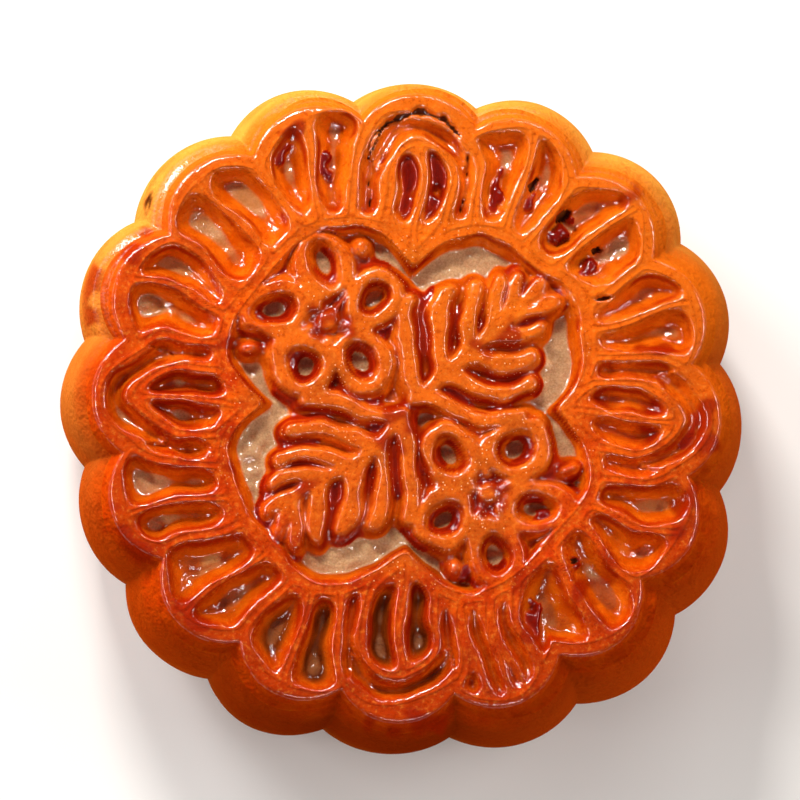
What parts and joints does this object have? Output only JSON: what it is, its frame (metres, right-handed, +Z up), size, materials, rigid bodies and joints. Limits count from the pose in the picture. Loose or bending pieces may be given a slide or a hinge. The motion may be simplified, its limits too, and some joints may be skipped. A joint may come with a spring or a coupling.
{
  "type": "mooncake",
  "caption": "Round baked mooncake with a fluted side, a petalled border and a stamped floral medallion on its glazed top.",
  "frame": {"origin": "middle of the flat underside", "axes": "+Z up through the stamped top; the four large petals point along +X, +Y, -X and -Y"},
  "size_m": [0.0814, 0.0814, 0.033],
  "materials": {
    "baked_crust": "golden-brown baked crust with an egg-wash glaze, redder on the raised lines and pale on the sunk floors"
  },
  "bodies": {
    "root": {"mooncake": "baked_crust"}
  },
  "joints": []
}
